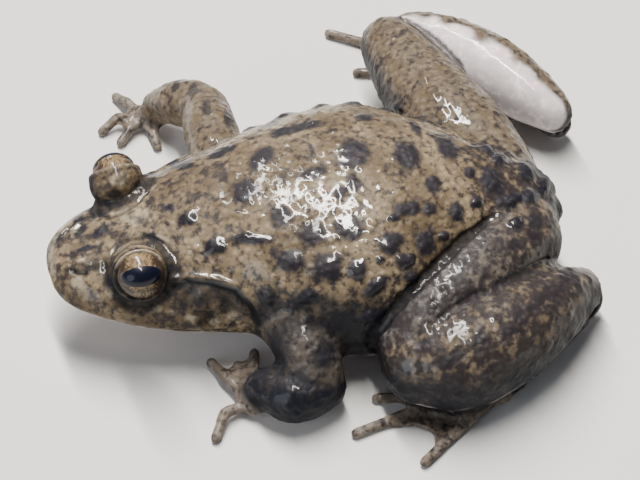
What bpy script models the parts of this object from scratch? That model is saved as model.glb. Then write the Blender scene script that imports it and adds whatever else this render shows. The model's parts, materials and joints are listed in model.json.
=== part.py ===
"""Nepal wart frog, life size, squatting with its left leg folded and its right leg spread.

The frog looks along -Y, its left side is +X, and it rests on the plane Z = 0. The origin is the
middle of the flat under its belly. Sizes below are in millimetres, and finish() turns each mesh
to metres.
"""

import math
from collections import namedtuple

import bmesh
import bpy
from mathutils import Matrix, Vector

METRES = 0.001
GAP = 0.3                # kept between pieces that touch
FAR_OUT = 60.0           # further than any part of the frog reaches
SHARP_ANGLE = 40.0       # degrees, past which an edge isn't shaded smooth

SNOUT_TO_VENT = 43.6
SNOUT_Y = -24.0          # where the snout tip lies
NECK_Y = -8.3            # the head ends and the torso begins here
BODY_SEGMENTS = 40
HEAD_RINGS = 24
TORSO_RINGS = 24
LIMB_SEGMENTS = 16
PALM_SEGMENTS = 12
TOE_SEGMENTS = 8
LINE_SEGMENTS = 5        # round the mouth line
FOLD_SEGMENTS = 8
BALL_SEGMENTS = 18
BALL_RINGS = 12
DRUM_SEGMENTS = 14
DRUM_RINGS = 8
NOSTRIL_SEGMENTS = 8
NOSTRIL_RINGS = 6
HALVINGS = 40            # steps that find a place along the row of sections
TIP_WIDTH = 0.05         # a section narrower than this is a single point

HIP_DEPTH = 2.6          # how deep the thighs' roots reach into the flanks
HIP_LEAST = 1.5          # half width of the rump that stays between them
HIP_START_Y = -1.0
HIP_END_Y = 24.0
HIP_STEPS = 25

HEAD_TURN = 4.0          # degrees the head looks to the frog's left
TURN_START_Y = -5.0      # the turn grows from here
TURN_END_Y = -12.0       # and is full from here on
PIVOT_Y = -8.5

EYE_RADIUS = 2.12
LID_SIZE = Vector((2.55, 2.6, 2.55))  # half sizes of the dome over an eye
EYE_OUT = 0.1            # how far the eyeball stands out of the dome's middle, along its gaze
EYE_SPREAD = 5.4         # from the midline to an eye's middle
EYE_Y = -17.05
EYE_Z = 10.1
GAZE = Vector((0.78, -0.06, 0.62))
LID_OPENING = Vector((2.3, 2.1, 1.5))    # half width, height and depth of the gap in the lids
OPENING_OUT = 2.7        # from the eyeball's middle to the middle of that gap

NOSTRIL_Y = -21.5
NOSTRIL_ANGLE = 61.0     # degrees round the section from the lip line up
NOSTRIL_RADIUS = 0.38
MOUTH_CORNER_Y = -9.8
LIP_ANGLE = -12.0        # degrees below the widest line
MOUTH_RADIUS = 0.24
MOUTH_STEPS = 9          # along each side of the mouth
MOUTH_FRONT = (0.6, 0.25, 0.08)  # the line's last places, behind the snout's tip
EAR_Y = -11.7
EAR_ANGLE = 20.0
EAR_RADIUS = 1.35
EAR_BULGE = 0.35
EAR_AXIS_Z = 5.75        # the ear drums face away from a line along the head at this height
FOLD_RADIUS = 0.7        # the fold of skin from the eye over the ear to the shoulder
FOLD_SUNK = 0.5          # share of its radius that lies under the skin
FOLD_END = 0.7           # share of its radius left at its ends
FOLD_ROW = ((-14.6, 37.0), (-13.0, 35.0), (-11.4, 32.0), (-9.8, 25.0), (-8.9, 16.0), (-8.2, 5.0))

# One cross-section of head and trunk: place along the body, half width, height of the widest
# line, top, bottom, and how square the section is above and below (2 is an ellipse).
Section = namedtuple("Section", "y half_width side top bottom square_top square_bottom")

SNOUT_TIP = Section(-24.0, 0.0, 6.5, 6.6, 6.4, 2.0, 2.0)
SNOUT_FRONT = Section(-23.7, 2.0, 6.4, 7.6, 5.5, 2.0, 2.0)
SNOUT_BLUNT = Section(-22.9, 3.7, 6.3, 8.4, 5.0, 2.1, 2.0)
NOSTRILS = Section(-21.3, 5.1, 6.1, 9.1, 4.4, 2.2, 2.0)
CHEEKS = Section(-19.0, 6.3, 5.9, 9.8, 3.8, 2.2, 2.0)
EYES = Section(-16.5, 7.2, 5.6, 10.6, 3.1, 2.3, 2.1)
CROWN = Section(-13.0, 8.0, 5.4, 11.9, 2.5, 2.4, 2.2)
JAW_ANGLE = Section(-9.6, 8.7, 5.5, 12.9, 1.9, 2.5, 2.2)
SHOULDERS = Section(-5.5, 10.3, 5.9, 13.8, 0.7, 2.4, 2.3)
CHEST = Section(-1.0, 12.0, 5.7, 14.3, -0.4, 2.3, 2.3)
BELLY = Section(3.5, 12.1, 5.7, 14.6, -0.5, 2.3, 2.3)
FLANK = Section(8.0, 10.0, 6.1, 13.9, 0.0, 2.1, 2.2)
PELVIS = Section(12.5, 7.4, 6.6, 12.4, 1.0, 2.0, 2.1)
RUMP = Section(16.2, 5.4, 6.7, 10.7, 2.3, 2.0, 2.0)
TAILBONE = Section(18.6, 3.6, 6.5, 8.9, 3.9, 2.0, 2.0)
VENT_RIM = Section(19.4, 1.8, 6.4, 7.5, 5.2, 2.0, 2.0)
VENT = Section(SNOUT_Y + SNOUT_TO_VENT, 0.0, 6.3, 6.4, 6.2, 2.0, 2.0)

BODY = (SNOUT_TIP, SNOUT_FRONT, SNOUT_BLUNT, NOSTRILS, CHEEKS, EYES, CROWN, JAW_ANGLE, SHOULDERS,
        CHEST, BELLY, FLANK, PELVIS, RUMP, TAILBONE, VENT_RIM, VENT)

# One joint of a limb: its place, and the half width and half height of the flesh round it.
Joint = namedtuple("Joint", "x y z width height")

LEFT_THIGH = (Joint(3.6, 15.3, 6.4, 4.0, 4.2), Joint(8.0, 11.2, 6.7, 4.0, 4.3),
              Joint(11.8, 6.4, 6.0, 3.5, 3.8), Joint(13.2, 4.6, 5.3, 2.9, 3.1))
LEFT_SHANK = (Joint(14.7, 5.3, 4.8, 3.4, 3.6), Joint(14.7, 8.4, 4.9, 4.3, 4.5),
              Joint(12.5, 13.2, 5.1, 4.1, 4.3), Joint(9.5, 17.5, 4.6, 3.1, 3.3),
              Joint(7.9, 19.8, 4.0, 2.1, 2.2))
LEFT_TARSUS = (Joint(7.2, 20.8, 2.3, 1.5, 1.6), Joint(9.2, 18.4, 1.3, 1.5, 1.3),
               Joint(12.0, 15.0, 1.1, 1.4, 1.2), Joint(14.2, 12.6, 1.0, 1.5, 1.1))
RIGHT_THIGH = (Joint(-4.0, 14.8, 6.5, 4.0, 4.2), Joint(-10.0, 12.6, 6.8, 4.5, 4.2),
               Joint(-17.0, 10.6, 6.4, 3.7, 3.5), Joint(-23.2, 9.2, 5.6, 2.8, 2.9))
RIGHT_SHANK = (Joint(-24.5, 11.5, 4.9, 2.6, 2.8), Joint(-22.7, 14.2, 4.9, 3.1, 3.2),
               Joint(-19.4, 17.8, 4.9, 3.1, 3.2), Joint(-16.0, 20.8, 4.3, 2.5, 2.6),
               Joint(-14.2, 22.3, 3.9, 1.9, 2.0))
RIGHT_TARSUS = (Joint(-14.6, 22.9, 2.2, 1.4, 1.6), Joint(-18.0, 20.8, 1.3, 1.4, 1.2),
                Joint(-21.6, 18.0, 1.1, 1.4, 1.1), Joint(-23.6, 16.2, 1.0, 1.5, 1.0))

LEFT_UPPER_ARM = (Joint(8.4, -5.2, 5.5, 2.5, 2.6), Joint(11.2, -4.0, 5.2, 2.5, 2.6),
                  Joint(13.3, -3.2, 3.9, 2.3, 2.4))
LEFT_FOREARM = (Joint(14.0, -3.0, 2.9, 2.2, 2.3), Joint(14.6, -5.3, 2.7, 2.4, 2.3),
                Joint(12.9, -7.5, 2.1, 1.8, 1.7))
RIGHT_UPPER_ARM = (Joint(-8.8, -8.0, 6.6, 2.5, 2.6), Joint(-13.2, -8.3, 6.3, 2.4, 2.5),
                   Joint(-17.8, -8.4, 5.2, 2.2, 2.3))
RIGHT_FOREARM = (Joint(-19.0, -8.7, 4.6, 2.2, 2.3), Joint(-20.8, -10.4, 3.7, 2.2, 2.1),
                 Joint(-22.2, -12.3, 2.2, 1.4, 1.5))

DIGIT_RADIUS = 0.5
DIGIT_ROOT_RADIUS = 0.62
DIGIT_ROOT_Z = 0.69
KNUCKLE_RADIUS = 0.55
SLIM_RADIUS = 0.45       # between the knuckle and the tip
TIP_RADIUS = 0.48
TIP_Z = 0.43
BEFORE_KNUCKLE = 0.8     # share of the arch before the knuckle
AFTER_KNUCKLE = 0.5      # and after it
PALM_SLIMMER = 0.8       # the palm's rear end against its front, in width
PALM_LOWER = 0.9         # and in height

# A digit is its knuckles on the floor plane, from the root out, and how high it arches.
Digit = namedtuple("Digit", "knuckles arch")

LEFT_HAND_ROOT = Joint(12.9, -8.6, 1.0, 1.8, 1.0)
LEFT_FINGERS = (Digit(((12.2, -8.4), (9.6, -8.0), (7.4, -7.6)), 0.5),
                Digit(((12.0, -8.8), (10.2, -9.2), (8.6, -9.2)), 0.4),
                Digit(((12.4, -9.2), (10.3, -10.3), (7.9, -11.3)), 0.6),
                Digit(((13.3, -9.2), (14.2, -11.0), (16.2, -12.0)), 0.5))
RIGHT_HAND_ROOT = Joint(-22.5, -13.2, 1.0, 1.5, 1.0)
RIGHT_FINGERS = (Digit(((-21.7, -13.1), (-20.3, -12.9), (-18.9, -12.7)), 0.3),
                 Digit(((-22.0, -13.7), (-21.2, -14.8), (-19.9, -15.9)), 0.4),
                 Digit(((-22.4, -14.1), (-22.4, -15.9), (-21.6, -17.4)), 0.6),
                 Digit(((-23.0, -13.9), (-24.4, -14.8), (-26.0, -15.7)), 0.5))
LEFT_FOOT_ROOT = Joint(15.0, 11.4, 0.9, 1.7, 0.9)
LEFT_TOES = (Digit(((14.0, 11.2), (12.2, 9.6), (11.0, 7.8)), 0.0),
             Digit(((14.3, 10.8), (12.7, 7.6), (11.6, 4.6)), 0.0),
             Digit(((14.8, 10.5), (14.6, 6.0), (14.0, 1.7)), 0.0),
             Digit(((15.4, 10.4), (15.9, 4.6), (17.5, -0.6)), 0.0),
             Digit(((15.9, 10.9), (18.3, 8.0), (21.4, 4.4)), 0.1))
RIGHT_FOOT_ROOT = Joint(-24.0, 15.4, 0.9, 1.7, 0.9)
RIGHT_TOES = (Digit(((-23.0, 15.2), (-21.8, 13.8), (-21.2, 12.0)), 0.0),
              Digit(((-23.4, 14.8), (-22.8, 11.8), (-22.0, 8.8)), 0.0),
              Digit(((-24.0, 14.6), (-25.2, 10.8), (-25.8, 6.6)), 0.1),
              Digit(((-24.6, 14.6), (-28.4, 9.8), (-31.6, 4.9)), 0.2),
              Digit(((-25.0, 15.0), (-27.6, 12.4), (-29.8, 9.8)), 0.2))
WEB_THICKNESS = 0.5
WEB_LIFT = 0.08          # its underside over the floor
WEB_STEPS = 4            # faces along a toe
WEB_ACROSS = 3           # and between two toes
WEB_REACH = 0.84         # how far along the toes the web runs
WEB_SAG = 0.26           # how far its free edge bows back between two toes

SKIN_COLOUR = (0.23, 0.19, 0.12, 1.0)
LIMB_COLOUR = (0.24, 0.20, 0.14, 1.0)
EYE_COLOUR = (0.12, 0.09, 0.05, 1.0)


def clear_scene():
    for thing in list(bpy.data.objects):
        bpy.data.objects.remove(thing, do_unlink=True)


def make_material(name, colour, roughness):
    material = bpy.data.materials.new(name)
    material.use_nodes = True
    shader = material.node_tree.nodes["Principled BSDF"]
    shader.inputs["Base Color"].default_value = colour
    shader.inputs["Roughness"].default_value = roughness
    shader.inputs["Metallic"].default_value = 0.0
    return material


def blend(points, at):
    """A smooth curve through a row of equal-length tuples, at runs from 0 to len(points) - 1."""
    last = len(points) - 1
    span = min(int(at), last - 1)
    t = at - span
    before = points[max(span - 1, 0)]
    start, end = points[span], points[span + 1]
    after = points[min(span + 2, last)]
    return tuple(
        0.5 * (2 * b + (c - a) * t + (2 * a - 5 * b + 4 * c - d) * t * t
               + (3 * b - a - 3 * c + d) * t * t * t)
        for a, b, c, d in zip(before, start, end, after)
    )


def place_of(y):
    """Where along the smooth row of sections the body reaches y."""
    low, high = 0.0, len(BODY) - 1.0
    for _ in range(HALVINGS):
        middle = (low + high) / 2
        if blend(BODY, middle)[0] < y:
            low = middle
        else:
            high = middle
    return (low + high) / 2


def section_at(y):
    return Section(*blend(BODY, place_of(y)))


def body_point(section, angle):
    """A point of a section. Angle 0 is the left side's widest line, and 90 degrees is the back."""
    across, upward = math.cos(angle), math.sin(angle)
    square = section.square_top if upward >= 0 else section.square_bottom
    reach = section.top - section.side if upward >= 0 else section.side - section.bottom
    x = section.half_width * math.copysign(abs(across) ** (2 / square), across)
    z = section.side + reach * math.copysign(abs(upward) ** (2 / square), upward)
    return Vector((x, section.y, z))


def turn_at(y):
    """How the head is turned to the left at y. The turn fades out behind the jaw."""
    share = (TURN_START_Y - y) / (TURN_START_Y - TURN_END_Y)
    share = min(max(share, 0.0), 1.0)
    share = share * share * (3 - 2 * share)
    return Matrix.Rotation(math.radians(HEAD_TURN) * share, 3, "Z")


def turned(point, turn):
    pivot = Vector((0, PIVOT_Y, 0))
    return pivot + turn @ (point - pivot)


def turn_head(point):
    return turned(point, turn_at(point.y))


def mesh_object(name, bm):
    mesh = bpy.data.meshes.new(name)
    bm.normal_update()
    bmesh.ops.recalc_face_normals(bm, faces=bm.faces)
    bm.to_mesh(mesh)
    bm.free()
    made = bpy.data.objects.new(name, mesh)
    bpy.context.scene.collection.objects.link(made)
    return made


def loft(name, rings):
    """Skins a row of rings into one closed mesh. A ring of one point is a tip."""
    bm = bmesh.new()
    rows = [[bm.verts.new(point) for point in ring] for ring in rings]
    for near, far in zip(rows, rows[1:]):
        count = max(len(near), len(far))
        for i in range(count):
            j = (i + 1) % count
            corners = [near[i % len(near)], near[j % len(near)],
                       far[j % len(far)], far[i % len(far)]]
            bm.faces.new(list(dict.fromkeys(corners)))
    for end in (rows[0], rows[-1]):
        if len(end) > 2:
            bm.faces.new(end)
    return mesh_object(name, bm)


def outset(point, centre, grow):
    away = point - centre
    return point if grow == 0 or away.length == 0 else point + away.normalized() * grow


def body_rings(start, end, count, grow=0.0):
    """Rings of the body between two places, evenly spread along its row of sections."""
    first, last = place_of(start), place_of(end)
    rings = []
    for i in range(count + 1):
        section = Section(*blend(BODY, first + (last - first) * i / count))
        centre = Vector((0, section.y, section.side))
        if section.half_width < TIP_WIDTH:
            rings.append([turn_head(centre)])
            continue
        ring = [body_point(section, math.tau * k / BODY_SEGMENTS) for k in range(BODY_SEGMENTS)]
        rings.append([turn_head(outset(point, centre, grow)) for point in ring])
    return rings


def grown(joints):
    """The same joints with flesh thicker by the gap, for cutting a neighbour clear of this limb."""
    return [Joint(j.x, j.y, j.z, j.width + GAP, j.height + GAP) for j in joints]


def limb(name, joints, segments=LIMB_SEGMENTS, steps=3, cap_steps=3):
    """A limb as a row of oval rings along a smooth line, round at both ends."""
    count = (len(joints) - 1) * steps
    samples = [Joint(*blend(joints, i / steps)) for i in range(count + 1)]
    centres = [Vector(s[:3]) for s in samples]
    rings = []

    def add_ring(centre, along, width, height):
        side = along.cross(Vector((0, 0, 1))).normalized()
        above = side.cross(along).normalized()
        rings.append([centre + side * width * math.cos(math.tau * k / segments)
                      + above * height * math.sin(math.tau * k / segments)
                      for k in range(segments)])

    def direction(i):
        return (centres[min(i + 1, count)] - centres[max(i - 1, 0)]).normalized()

    first, last = samples[0], samples[-1]
    rings.append([centres[0] - direction(0) * min(first.width, first.height)])
    for k in range(1, cap_steps):
        turn = math.pi / 2 * k / cap_steps
        reach = min(first.width, first.height) * math.cos(turn)
        add_ring(centres[0] - direction(0) * reach, direction(0),
                 first.width * math.sin(turn), first.height * math.sin(turn))
    for i, sample in enumerate(samples):
        add_ring(centres[i], direction(i), sample.width, sample.height)
    for k in range(cap_steps - 1, 0, -1):
        turn = math.pi / 2 * k / cap_steps
        reach = min(last.width, last.height) * math.cos(turn)
        add_ring(centres[-1] + direction(count) * reach, direction(count),
                 last.width * math.sin(turn), last.height * math.sin(turn))
    rings.append([centres[-1] + direction(count) * min(last.width, last.height)])
    return loft(name, rings)


def ball(name, centre, size, segments=BALL_SEGMENTS, rings=BALL_RINGS, pole=Vector((0, 0, 1))):
    """A ball, or an egg where size is three half sizes, with its pole along the given direction."""
    half = Vector((size, size, size)) if isinstance(size, float) else size
    turn = pole.to_track_quat("Z", "Y").to_matrix().to_4x4()
    bm = bmesh.new()
    bmesh.ops.create_uvsphere(bm, u_segments=segments, v_segments=rings, radius=1.0)
    bm.transform(Matrix.Translation(centre) @ turn @ Matrix.Diagonal((*half, 1)))
    return mesh_object(name, bm)


def is_closed(mesh):
    bm = bmesh.new()
    bm.from_mesh(mesh)
    closed = len(bm.faces) > 0 and all(edge.is_manifold for edge in bm.edges)
    bm.free()
    return closed


def apply_boolean(target, other, operation):
    """Joins other to target, or cuts it away, and removes it."""
    modifier = target.modifiers.new(operation.lower(), "BOOLEAN")
    modifier.operation = operation
    modifier.object = other
    for solver in ("EXACT", "MANIFOLD"):
        modifier.solver = solver
        bpy.context.view_layer.update()
        graph = bpy.context.evaluated_depsgraph_get()
        result = bpy.data.meshes.new_from_object(target.evaluated_get(graph))
        if is_closed(result):
            break
    target.modifiers.clear()
    target.data = result
    bpy.data.objects.remove(other, do_unlink=True)


def keep_largest(target):
    """Drops what a cut left loose, so that the node stays one closed body."""
    bm = bmesh.new()
    bm.from_mesh(target.data)
    left, pieces = set(bm.verts), []
    while left:
        stack, piece = [left.pop()], set()
        while stack:
            vert = stack.pop()
            piece.add(vert)
            for edge in vert.link_edges:
                other = edge.other_vert(vert)
                if other in left:
                    left.remove(other)
                    stack.append(other)
        pieces.append(piece)
    pieces.sort(key=len)
    for piece in pieces[:-1]:
        bmesh.ops.delete(bm, geom=list(piece), context="VERTS")
    bm.to_mesh(target.data)
    bm.free()


def carve(target, *cutters):
    """Cuts a piece clear of its neighbours, whose swollen forms are the cutters."""
    for cutter in cutters:
        apply_boolean(target, cutter, "DIFFERENCE")
    keep_largest(target)


def limb_cutter(joints):
    return limb("cutter", grown(joints))


def torso_cutter():
    return loft("cutter", body_rings(NECK_Y, VENT.y, TORSO_RINGS, GAP))




def head_cutter():
    return loft("cutter", body_rings(SNOUT_Y, NECK_Y + GAP, HEAD_RINGS, GAP))


def hip_block(grow=0.0):
    """An upright block along the middle of the rump, on whose sides the thighs end."""
    rings = []
    for i in range(HIP_STEPS + 1):
        y = HIP_START_Y + (HIP_END_Y - HIP_START_Y) * i / HIP_STEPS
        half = max(section_at(min(y, VENT_RIM.y)).half_width - HIP_DEPTH, HIP_LEAST) + grow
        corners = ((half, -FAR_OUT), (half, FAR_OUT), (-half, FAR_OUT), (-half, -FAR_OUT))
        rings.append([Vector((x, y, z)) for x, z in corners])
    return loft("hip_block", rings)


def hip_core():
    """What the torso keeps of the hips: the block's share of it, swollen by the gap."""
    core = torso_cutter()
    apply_boolean(core, hip_block(GAP), "INTERSECT")
    return core


def hip_socket(joints):
    """What a thigh takes of the torso: the swollen thigh outside the block."""
    socket = limb_cutter(joints)
    apply_boolean(socket, hip_block(), "DIFFERENCE")
    return socket


def box(name, low, high):
    bm = bmesh.new()
    bmesh.ops.create_cube(bm, size=1.0)
    size = Vector(high) - Vector(low)
    bm.transform(Matrix.Translation((Vector(low) + Vector(high)) / 2) @ Matrix.Diagonal((*size, 1)))
    return mesh_object(name, bm)


def flatten_underside(target):
    """Cuts a piece off at the floor, so that it stands on a small flat."""
    below = box("below_floor", (-FAR_OUT, -FAR_OUT, -FAR_OUT), (FAR_OUT, FAR_OUT, 0))
    apply_boolean(target, below, "DIFFERENCE")


def eye_centre(side):
    return turn_head(Vector((side * EYE_SPREAD, EYE_Y, EYE_Z)))


def gaze_of(side):
    turn = Matrix.Rotation(math.radians(HEAD_TURN), 3, "Z")
    return turn @ Vector((side * GAZE.x, GAZE.y, GAZE.z)).normalized()


def eyeball_centre(side):
    return eye_centre(side) + gaze_of(side) * EYE_OUT


def make_eye(name, side):
    return ball(name, eyeball_centre(side), EYE_RADIUS - GAP / 2, pole=gaze_of(side))


def surface_point(y, degrees, side=1, inward=0.0):
    """A point of the head's surface, or a little under it, at a place and an angle round it."""
    section = section_at(y)
    centre = Vector((0, y, section.side))
    point = outset(body_point(section, math.radians(degrees)), centre, -inward)
    return turned(Vector((side * point.x, point.y, point.z)), turn_at(y))


def line_tube(name, points, radii, segments):
    joints = [Joint(p.x, p.y, p.z, radius, radius) for p, radius in zip(points, radii)]
    return limb(name, joints, segments, 1, 2)


def mouth_groove():
    """A thin tube round the lip line from one corner of the mouth to the other."""
    behind, *front = [SNOUT_Y + distance for distance in MOUTH_FRONT]
    step = (behind - MOUTH_CORNER_Y) / MOUTH_STEPS
    places = [MOUTH_CORNER_Y + step * i for i in range(MOUTH_STEPS + 1)] + front
    left = [surface_point(y, LIP_ANGLE, 1) for y in places]
    right = [surface_point(y, LIP_ANGLE, -1) for y in reversed(places)]
    return line_tube("mouth", left + right, [MOUTH_RADIUS] * (2 * len(places)), LINE_SEGMENTS)


def fold(side, grow=0.0):
    """The fold of skin from the eye over the ear to the shoulder, thinner towards its ends."""
    points = [surface_point(y, degrees, side, FOLD_RADIUS * FOLD_SUNK) for y, degrees in FOLD_ROW]
    last = len(points) - 1
    shares = [FOLD_END + (1 - FOLD_END) * math.sin(math.pi * i / last) for i in range(last + 1)]
    return line_tube("fold", points, [FOLD_RADIUS * share + grow for share in shares], FOLD_SEGMENTS)


def make_head():
    head = loft("head", body_rings(SNOUT_Y, NECK_Y, HEAD_RINGS))
    for side in (1, -1):
        apply_boolean(head, ball("lid", eye_centre(side), LID_SIZE), "UNION")
        apply_boolean(head, fold(side), "UNION")
        ear = surface_point(EAR_Y, EAR_ANGLE, side)
        outward = (ear - Vector((0, EAR_Y, EAR_AXIS_Z))).normalized()
        size = Vector((EAR_RADIUS, EAR_RADIUS, EAR_BULGE))
        apply_boolean(head, ball("drum", ear, size, DRUM_SEGMENTS, DRUM_RINGS, outward), "UNION")
    for side in (1, -1):
        socket = ball("socket", eyeball_centre(side), EYE_RADIUS + GAP / 2, pole=gaze_of(side))
        apply_boolean(head, socket, "DIFFERENCE")
        opening = eyeball_centre(side) + gaze_of(side) * OPENING_OUT
        opening = ball("opening", opening, LID_OPENING, pole=gaze_of(side))
        apply_boolean(head, opening, "DIFFERENCE")
        nostril = surface_point(NOSTRIL_Y, NOSTRIL_ANGLE, side)
        nostril = ball("nostril", nostril, NOSTRIL_RADIUS, NOSTRIL_SEGMENTS, NOSTRIL_RINGS)
        apply_boolean(head, nostril, "DIFFERENCE")
    apply_boolean(head, mouth_groove(), "DIFFERENCE")
    apply_boolean(head, behind_neck(), "DIFFERENCE")
    keep_largest(head)
    return head


def behind_neck():
    """All that lies behind the head's rear face."""
    made = box("behind_neck", (-FAR_OUT, NECK_Y, -FAR_OUT), (FAR_OUT, FAR_OUT, FAR_OUT))
    for vert in made.data.vertices:
        vert.co = turned(vert.co, turn_at(NECK_Y))
    return made


def make_torso():
    torso = loft("torso", body_rings(NECK_Y + GAP, VENT.y, TORSO_RINGS))
    carve(torso, hip_socket(LEFT_THIGH), hip_socket(RIGHT_THIGH))
    flatten_underside(torso)
    keep_largest(torso)
    return torso


def digit_joints(digit):
    """The rings of one digit: root, knuckle and a slightly swollen tip, all on the floor."""
    (x0, y0), (x1, y1), (x2, y2) = digit.knuckles
    before = DIGIT_RADIUS + digit.arch * BEFORE_KNUCKLE
    after = DIGIT_RADIUS + digit.arch * AFTER_KNUCKLE
    return (Joint(x0, y0, DIGIT_ROOT_Z, DIGIT_ROOT_RADIUS, DIGIT_ROOT_RADIUS),
            Joint((x0 + x1) / 2, (y0 + y1) / 2, before, DIGIT_RADIUS, DIGIT_RADIUS),
            Joint(x1, y1, DIGIT_RADIUS + digit.arch, KNUCKLE_RADIUS, KNUCKLE_RADIUS),
            Joint((x1 + x2) / 2, (y1 + y2) / 2, after, SLIM_RADIUS, SLIM_RADIUS),
            Joint(x2, y2, TIP_Z, TIP_RADIUS, TIP_RADIUS))


def web(name, digits):
    """The skin between the toes, one plate whose free edge bows back between each two of them."""
    rows_of_joints = [digit_joints(digit) for digit in digits]
    columns = (len(digits) - 1) * WEB_ACROSS
    low, high = [], []
    bm = bmesh.new()
    for j in range(columns + 1):
        left = min(j // WEB_ACROSS, len(digits) - 2)
        share = j / WEB_ACROSS - left
        bow = 1 - WEB_SAG * math.sin(math.pi * share)
        for rows, lift in ((low, WEB_LIFT), (high, WEB_LIFT + WEB_THICKNESS)):
            row = []
            for i in range(WEB_STEPS + 1):
                at = i / WEB_STEPS * WEB_REACH * bow * (len(rows_of_joints[0]) - 1)
                a = Vector(blend(rows_of_joints[left], at)[:3])
                b = Vector(blend(rows_of_joints[left + 1], at)[:3])
                point = a.lerp(b, share)
                row.append(bm.verts.new((point.x, point.y, lift)))
            rows.append(row)
    for j in range(columns):
        for i in range(WEB_STEPS):
            for rows in (low, high):
                a, b, c, d = rows[j][i], rows[j + 1][i], rows[j + 1][i + 1], rows[j][i + 1]
                bm.faces.new((a, b, c))
                bm.faces.new((a, c, d))
    rim = [(j, 0) for j in range(columns + 1)] + [(columns, i) for i in range(1, WEB_STEPS + 1)]
    rim += [(j, WEB_STEPS) for j in range(columns - 1, -1, -1)]
    rim += [(0, i) for i in range(WEB_STEPS - 1, 0, -1)]
    for (j, i), (m, k) in zip(rim, rim[1:] + rim[:1]):
        bm.faces.new((low[j][i], low[m][k], high[m][k], high[j][i]))
    return mesh_object(name, bm)


def make_digits(name, root, digits, last_joint, webbed):
    """A hand or foot: a low palm from the last limb joint, its digits and, on a foot, the webs."""
    wrist = last_joint._replace(width=root.width * PALM_SLIMMER, height=root.height * PALM_LOWER)
    made = limb(name, (wrist, root), PALM_SEGMENTS)
    for i, digit in enumerate(digits):
        piece = limb(f"{name}_digit{i}", digit_joints(digit), TOE_SEGMENTS, 2, 2)
        apply_boolean(made, piece, "UNION")
    if webbed:
        apply_boolean(made, web("web", digits), "UNION")
    return made


def finish(piece, material):
    """Turns the piece to metres, gives it its material and shades it smooth."""
    piece.data.transform(Matrix.Scale(METRES, 4))
    piece.data.materials.clear()
    piece.data.materials.append(material)
    piece.data.shade_smooth()
    piece.data.set_sharp_from_angle(angle=math.radians(SHARP_ANGLE))


def main():
    clear_scene()
    skin = make_material("back_skin", SKIN_COLOUR, 0.35)
    limb_skin = make_material("limb_skin", LIMB_COLOUR, 0.4)
    eye = make_material("eye", EYE_COLOUR, 0.1)

    torso = make_torso()
    head = make_head()
    eyes = [make_eye("eye_left", 1), make_eye("eye_right", -1)]

    limbs = []
    for side, thigh_row, shank_row, tarsus_row, foot_root, toes in (
            ("left", LEFT_THIGH, LEFT_SHANK, LEFT_TARSUS, LEFT_FOOT_ROOT, LEFT_TOES),
            ("right", RIGHT_THIGH, RIGHT_SHANK, RIGHT_TARSUS, RIGHT_FOOT_ROOT, RIGHT_TOES)):
        shank = limb("shank_" + side, shank_row)
        carve(shank, torso_cutter())
        thigh = limb("thigh_" + side, thigh_row)
        carve(thigh, hip_core(), limb_cutter(shank_row))
        tarsus = limb("tarsus_" + side, tarsus_row)
        carve(tarsus, limb_cutter(shank_row), limb_cutter(thigh_row))
        foot = make_digits("foot_" + side, foot_root, toes, tarsus_row[-1], True)
        carve(foot, limb_cutter(tarsus_row), limb_cutter(shank_row), limb_cutter(thigh_row))
        limbs += [shank, thigh, tarsus, foot]
    for side, sign, upper_row, fore_row, hand_root, fingers in (
            ("left", 1, LEFT_UPPER_ARM, LEFT_FOREARM, LEFT_HAND_ROOT, LEFT_FINGERS),
            ("right", -1, RIGHT_UPPER_ARM, RIGHT_FOREARM, RIGHT_HAND_ROOT, RIGHT_FINGERS)):
        upper = limb("upper_arm_" + side, upper_row)
        carve(upper, torso_cutter(), head_cutter(), fold(sign, GAP))
        fore = limb("forearm_" + side, fore_row)
        carve(fore, limb_cutter(upper_row), torso_cutter())
        hand = make_digits("hand_" + side, hand_root, fingers, fore_row[-1], False)
        carve(hand, limb_cutter(fore_row), limb_cutter(upper_row))
        limbs += [upper, fore, hand]
    for piece in limbs:
        flatten_underside(piece)
        keep_largest(piece)

    for piece in (torso, head):
        finish(piece, skin)
    for piece in limbs:
        finish(piece, limb_skin)
    for piece in eyes:
        finish(piece, eye)


if __name__ == "__main__":
    main()
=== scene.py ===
import json
import math
import random

import bpy
import numpy as np
from mathutils import Matrix, Vector, noise
from mathutils.bvhtree import BVHTree

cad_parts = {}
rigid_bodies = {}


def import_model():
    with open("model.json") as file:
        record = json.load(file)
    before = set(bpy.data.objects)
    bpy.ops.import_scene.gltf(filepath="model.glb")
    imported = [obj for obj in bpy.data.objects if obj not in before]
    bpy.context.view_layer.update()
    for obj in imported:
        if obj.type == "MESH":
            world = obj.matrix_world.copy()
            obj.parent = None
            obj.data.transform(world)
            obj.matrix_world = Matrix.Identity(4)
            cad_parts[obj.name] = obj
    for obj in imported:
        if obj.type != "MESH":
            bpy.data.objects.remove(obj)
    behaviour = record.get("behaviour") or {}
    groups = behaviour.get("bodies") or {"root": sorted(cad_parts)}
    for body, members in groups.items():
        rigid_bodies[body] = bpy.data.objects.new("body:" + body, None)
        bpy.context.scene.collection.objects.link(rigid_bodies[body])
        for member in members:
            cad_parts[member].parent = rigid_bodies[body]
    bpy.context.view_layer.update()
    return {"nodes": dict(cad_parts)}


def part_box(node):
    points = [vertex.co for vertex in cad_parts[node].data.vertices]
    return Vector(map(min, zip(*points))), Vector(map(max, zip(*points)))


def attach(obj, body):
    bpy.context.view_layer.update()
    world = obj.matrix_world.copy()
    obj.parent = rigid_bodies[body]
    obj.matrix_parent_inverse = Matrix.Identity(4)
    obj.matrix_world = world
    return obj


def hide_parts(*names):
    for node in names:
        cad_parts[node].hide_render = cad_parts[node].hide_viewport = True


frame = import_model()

# The frog looks along -Y, its left side is +X and it lies on Z = 0. Lengths in mm are turned to
# metres where Blender needs them.
mm = 0.001
random.seed(11)

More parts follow.
